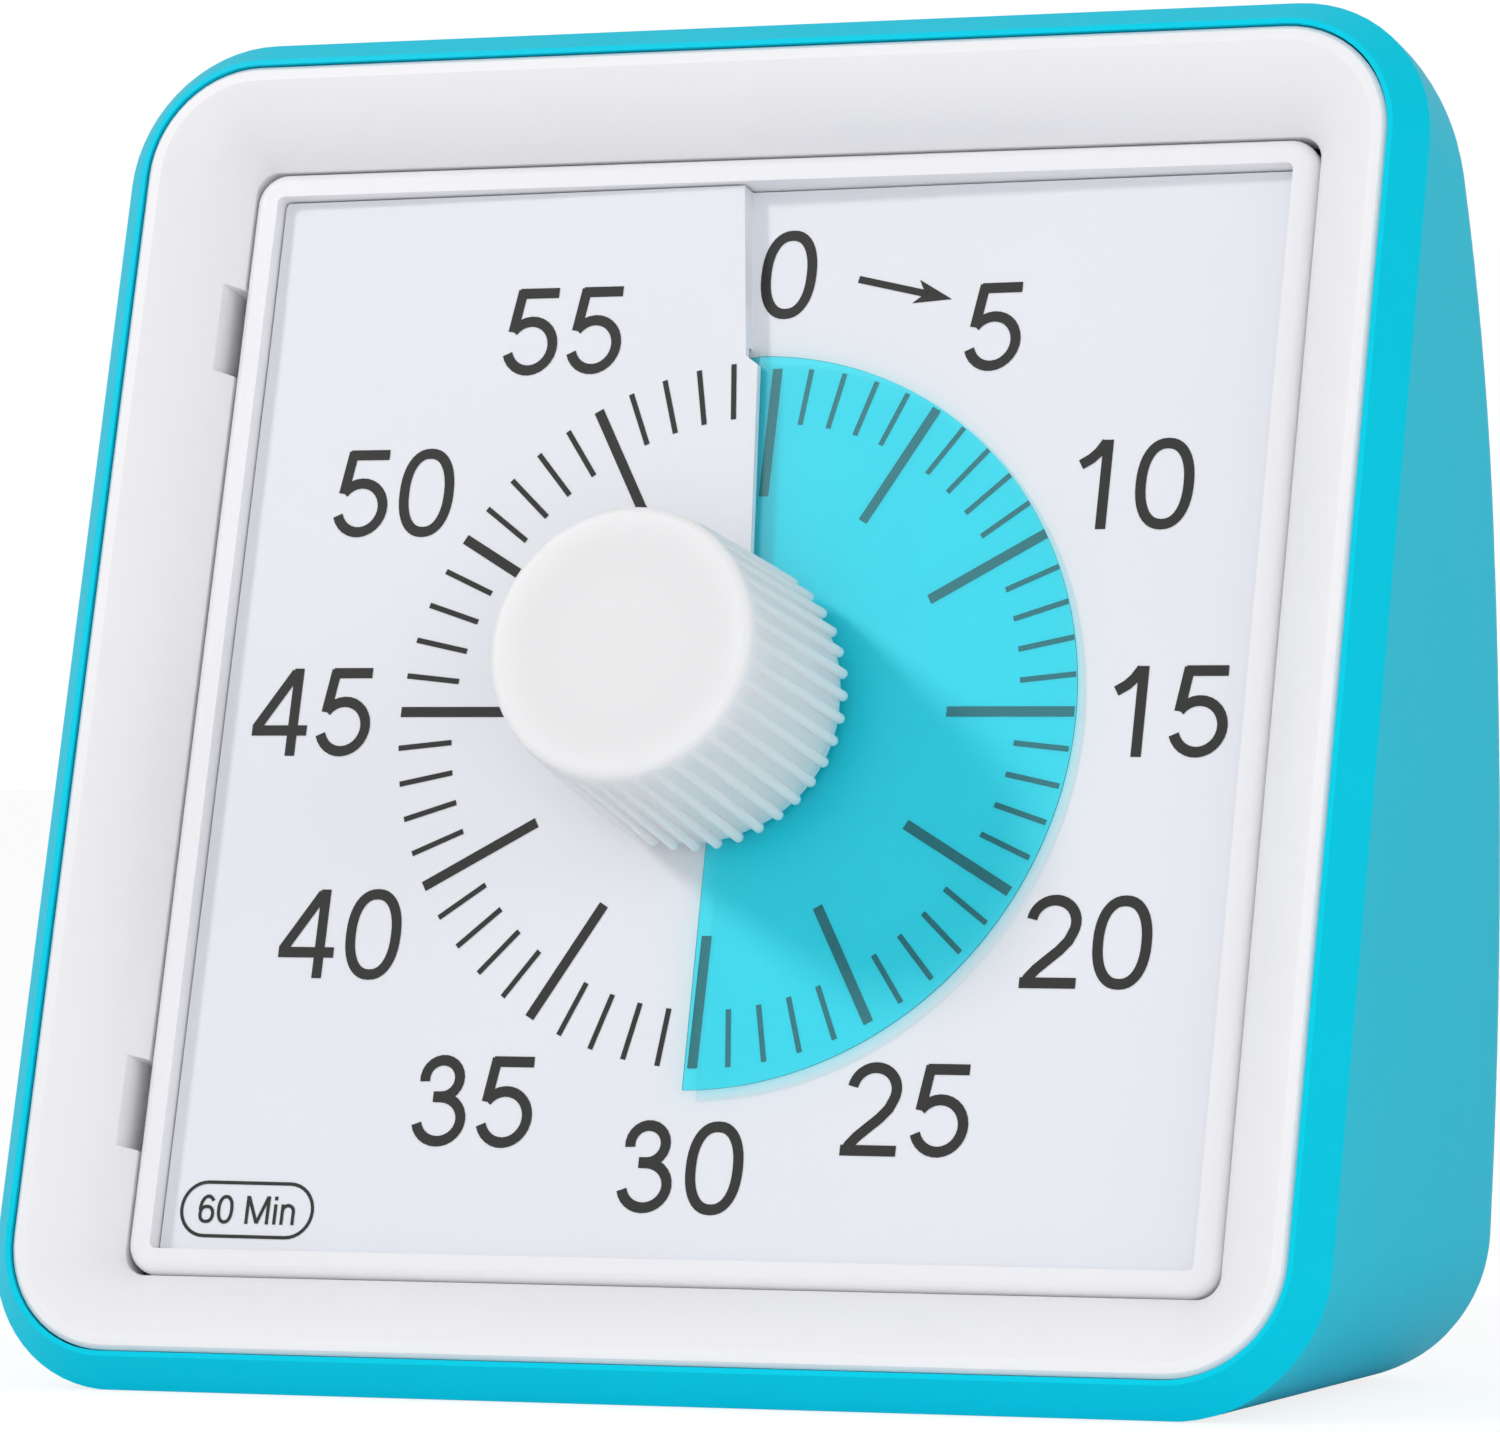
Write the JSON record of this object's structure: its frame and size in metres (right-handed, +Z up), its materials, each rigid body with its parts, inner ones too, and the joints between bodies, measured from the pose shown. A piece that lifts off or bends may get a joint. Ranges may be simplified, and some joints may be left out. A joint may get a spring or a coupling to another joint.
{
  "type": "visual countdown timer",
  "caption": "Table-top visual countdown timer: tilted square dial, ribbed knob and a translucent disc that is threaded through a slit in the dial and shrinks to show time left.",
  "frame": {"origin": "middle of the flat base on which the timer stands", "axes": "+Z up, the dial faces -Y and leans back from vertical, +X to the right seen from the front"},
  "size_m": [0.08, 0.0416, 0.077],
  "materials": {
    "case_cyan": "satin translucent-looking cyan",
    "bezel_white": "fine satin white",
    "tray_white": "satin white",
    "dial_white": "fine matt white",
    "disc_cyan": "translucent cyan film",
    "hub_white": "satin",
    "knob_white": "satin white",
    "shaft_steel": "turned",
    "spring_steel": "bright",
    "nut_brass": "turned",
    "movement_black": "moulded",
    "gear_white": "natural acetal",
    "stator_iron": "stamped electrical steel",
    "coil_copper": "enamelled copper winding",
    "board_green": "solder mask",
    "crystal_can": "plated",
    "contact_plate": "nickel plate",
    "buzzer_black": "moulded",
    "switch_black": "moulded",
    "cell_jacket": "plain printed sleeve",
    "screw_steel": "zinc plate"
  },
  "bodies": {
    "case": {"rear_case": "case_cyan", "front_bezel": "bezel_white", "dial_tray": "tray_white", "dial_plate": "dial_white", "movement_bush": "nut_brass", "mounting_nut": "nut_brass", "movement_case": "movement_black", "movement_cover": "movement_black", "stator": "stator_iron", "coil": "coil_copper", "circuit_board": "board_green", "crystal": "crystal_can", "end_contact": "contact_plate", "alarm_board": "board_green", "buzzer": "buzzer_black", "switch_body": "switch_black", "battery": "cell_jacket", "battery_spring": "contact_plate", "battery_contact": "contact_plate", "tray_screws": "screw_steel", "movement_screws": "screw_steel", "board_screws": "screw_steel"},
    "dial_drive": {"knob": "knob_white", "drive_shaft": "shaft_steel", "disc_hub": "hub_white", "colour_disc": "disc_cyan", "clutch_spring": "spring_steel"},
    "centre_gear": {"centre_wheel": "gear_white"},
    "second_gear": {"second_wheel": "gear_white"},
    "third_gear": {"third_wheel": "gear_white"},
    "rotor_gear": {"rotor": "gear_white"},
    "switch": {"switch_slider": "switch_black"},
    "door": {"battery_door": "case_cyan"}
  },
  "joints": [
    {"name": "dial_turn", "type": "hinge", "parent": "case", "child": "dial_drive", "pos_m": [0, -0.01256, 0.04008], "axis": [0, 0.9627, -0.2706], "range_deg": [-179, 179], "deforming": ["colour_disc"]},
    {"name": "centre_wheel_spin", "type": "hinge", "parent": "case", "child": "centre_gear", "pos_m": [0, 0.00159, 0.0361], "axis": [0, 0.9627, -0.2706], "continuous": true},
    {"name": "second_wheel_spin", "type": "hinge", "parent": "case", "child": "second_gear", "pos_m": [-0.012, 0.00342, 0.03559], "axis": [0, 0.9627, -0.2706], "continuous": true},
    {"name": "third_wheel_spin", "type": "hinge", "parent": "case", "child": "third_gear", "pos_m": [-0.012, 0.00786, 0.04473], "axis": [0, 0.9627, -0.2706], "continuous": true},
    {"name": "rotor_spin", "type": "hinge", "parent": "case", "child": "rotor_gear", "pos_m": [-0.00331, 0.00984, 0.04659], "axis": [0, 0.9627, -0.2706], "continuous": true},
    {"name": "alarm_switch_slide", "type": "slide", "parent": "case", "child": "switch", "axis": [1, 0, 0], "range_m": [0, 0.003]},
    {"name": "battery_door_slide", "type": "slide", "parent": "case", "child": "door", "axis": [0, 1, 0], "range_m": [0, 0.025]}
  ],
  "couplings": [
    {"joint": "third_wheel_spin", "follows": "rotor_spin", "ratio": -0.25},
    {"joint": "second_wheel_spin", "follows": "rotor_spin", "ratio": 0.0625},
    {"joint": "centre_wheel_spin", "follows": "rotor_spin", "ratio": -0.015625}
  ]
}
